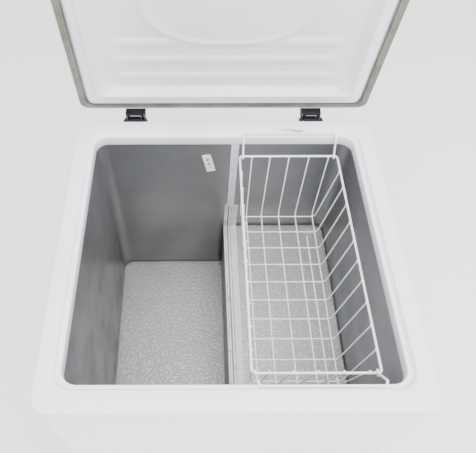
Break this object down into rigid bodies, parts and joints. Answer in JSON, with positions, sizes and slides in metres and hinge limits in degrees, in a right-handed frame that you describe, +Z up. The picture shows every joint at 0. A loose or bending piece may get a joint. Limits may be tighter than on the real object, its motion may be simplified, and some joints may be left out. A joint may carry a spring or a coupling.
{
  "type": "chest freezer",
  "caption": "Small white chest freezer with its lid open: metal-lined well with a step, hanging wire basket, sprung hinges, compressor below the step.",
  "frame": {"origin": "on the floor, under the middle of the whole freezer with its lid open", "axes": "+Z up, +X to the user's right, -Y the front that the user stands at"},
  "size_m": [0.62, 0.7168, 1.2753],
  "materials": {
    "cabinet_steel": "satin",
    "lid_steel": "satin",
    "frame_plastic": "satin",
    "liner_aluminium": "satin",
    "base_aluminium": "satin",
    "lid_liner_plastic": "satin",
    "gasket_vinyl": "matte",
    "trim_plastic": "matte",
    "guide_plastic": "matte",
    "coated_wire": "gloss",
    "insulation": "matte",
    "galvanised": "satin",
    "black_paint": "satin",
    "bright_steel": "polished",
    "copper_pipe": "satin",
    "panel_plastic": "matte",
    "knob_plastic": "satin",
    "drain_plastic": "matte",
    "black_rubber": "matte",
    "foot_plastic": "matte",
    "relay_plastic": "matte",
    "sticker": "matte",
    "lamp_green": "gloss",
    "lamp_red": "gloss"
  },
  "bodies": {
    "cabinet": {"outer_wrap": "cabinet_steel", "rear_panel": "galvanised", "base_pan": "galvanised", "top_frame": "frame_plastic", "liner_walls": "liner_aluminium", "liner_base": "base_aluminium", "step_edge_trim": "trim_plastic", "divider_guide_rear": "guide_plastic", "divider_guide_front": "guide_plastic", "wall_label": "sticker", "evaporator_coil": "copper_pipe", "condenser_coil": "copper_pipe", "insulation_foam": "insulation", "drain_tube": "drain_plastic", "control_panel": "panel_plastic", "thermostat_body": "galvanised", "power_lamp": "lamp_green", "running_lamp": "lamp_red", "compressor": "black_paint", "compressor_grommet_1": "black_rubber", "compressor_grommet_2": "black_rubber", "compressor_grommet_3": "black_rubber", "compressor_grommet_4": "black_rubber", "relay_box": "relay_plastic", "discharge_line": "copper_pipe", "suction_line": "copper_pipe", "filter_drier": "copper_pipe", "side_grille": "frame_plastic", "compressor_cover": "galvanised", "cover_screw_1": "bright_steel", "cover_screw_2": "bright_steel", "cover_screw_3": "bright_steel", "cover_screw_4": "bright_steel", "mains_gland": "black_rubber", "foot_front_left": "foot_plastic", "foot_front_right": "foot_plastic", "foot_rear_left": "foot_plastic", "foot_rear_right": "foot_plastic", "hinge_body_left": "black_paint", "hinge_body_right": "black_paint", "hinge_pin_left": "bright_steel", "hinge_pin_right": "bright_steel", "hinge_spring_left": "bright_steel", "hinge_spring_right": "bright_steel"},
    "lid": {"lid_skin": "lid_steel", "lid_liner": "lid_liner_plastic", "lid_foam": "insulation", "lid_gasket": "gasket_vinyl", "lid_handle": "frame_plastic", "lock_housing": "bright_steel", "hinge_leaf_left": "black_paint", "hinge_leaf_right": "black_paint"},
    "lock": {"lock_cylinder": "bright_steel"},
    "basket": {"basket": "coated_wire"},
    "front_bail": {"basket_handle_front": "coated_wire"},
    "rear_bail": {"basket_handle_rear": "coated_wire"},
    "knob": {"thermostat_knob": "knob_plastic"},
    "plug": {"drain_plug": "black_rubber"},
    "cap": {"drain_cap": "drain_plastic"}
  },
  "joints": [
    {"name": "lid_hinge", "type": "hinge", "parent": "cabinet", "child": "lid", "pos_m": [0, 0.28307, 0.623], "axis": [1, 0, 0], "range_deg": [0, 83]},
    {"name": "lock_turn", "type": "hinge", "parent": "lid", "child": "lock", "pos_m": [0.14, 0.25517, 1.25229], "axis": [0, -0.1219, 0.9925], "range_deg": [0, 90]},
    {"name": "basket_lift", "type": "slide", "parent": "cabinet", "child": "basket", "axis": [0, 0, -1], "range_m": [-0.35, 0]},
    {"name": "front_bail_fold", "type": "hinge", "parent": "basket", "child": "front_bail", "pos_m": [0.13825, -0.27043, 0.598], "axis": [1, 0, 0], "range_deg": [-130, 0]},
    {"name": "rear_bail_fold", "type": "hinge", "parent": "basket", "child": "rear_bail", "pos_m": [0.13825, 0.20407, 0.598], "axis": [-1, 0, 0], "range_deg": [-125, 0]},
    {"name": "thermostat_turn", "type": "hinge", "parent": "cabinet", "child": "knob", "pos_m": [0.252, -0.34493, 0.1], "axis": [0, -1, 0], "range_deg": [0, 270]},
    {"name": "drain_plug_pull", "type": "slide", "parent": "cabinet", "child": "plug", "axis": [0, 0, 1], "range_m": [0, 0.06]},
    {"name": "drain_cap_pull", "type": "slide", "parent": "cabinet", "child": "cap", "axis": [0, -1, 0], "range_m": [0, 0.03]}
  ]
}
